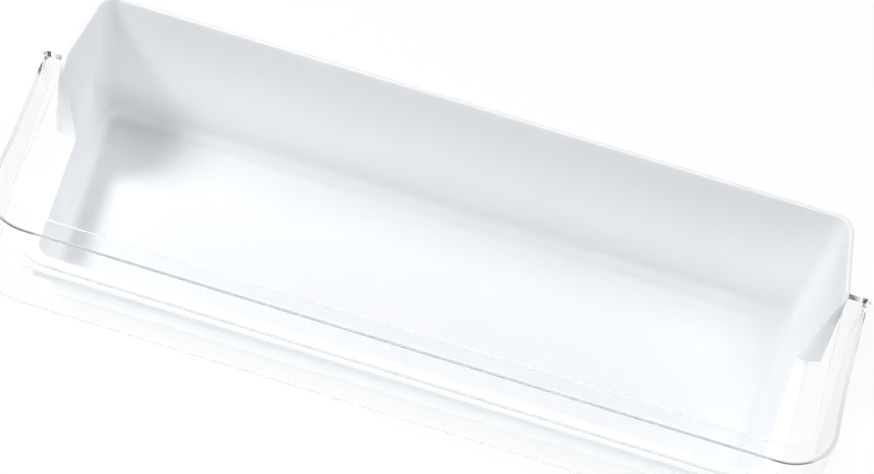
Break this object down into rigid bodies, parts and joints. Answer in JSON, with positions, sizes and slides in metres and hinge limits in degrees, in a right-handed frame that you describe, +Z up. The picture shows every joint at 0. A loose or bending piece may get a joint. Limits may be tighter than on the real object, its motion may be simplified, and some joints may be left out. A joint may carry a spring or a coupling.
{
  "type": "fridge door shelf guard",
  "caption": "Long open door shelf: a white tray with a tall back and tall rear ends, and a clear U-shaped front guard that snaps round its low rim.",
  "frame": {"origin": "middle of the overall box, on the plane of the tray's underside", "axes": "+X along the shelf, -Y out of its front, +Z up"},
  "size_m": [0.457, 0.149, 0.09],
  "materials": {
    "tray_white": "glossy white polystyrene",
    "guard_clear": "polished clear polystyrene"
  },
  "bodies": {
    "root": {"tray": "tray_white", "front_guard": "guard_clear"}
  },
  "joints": []
}
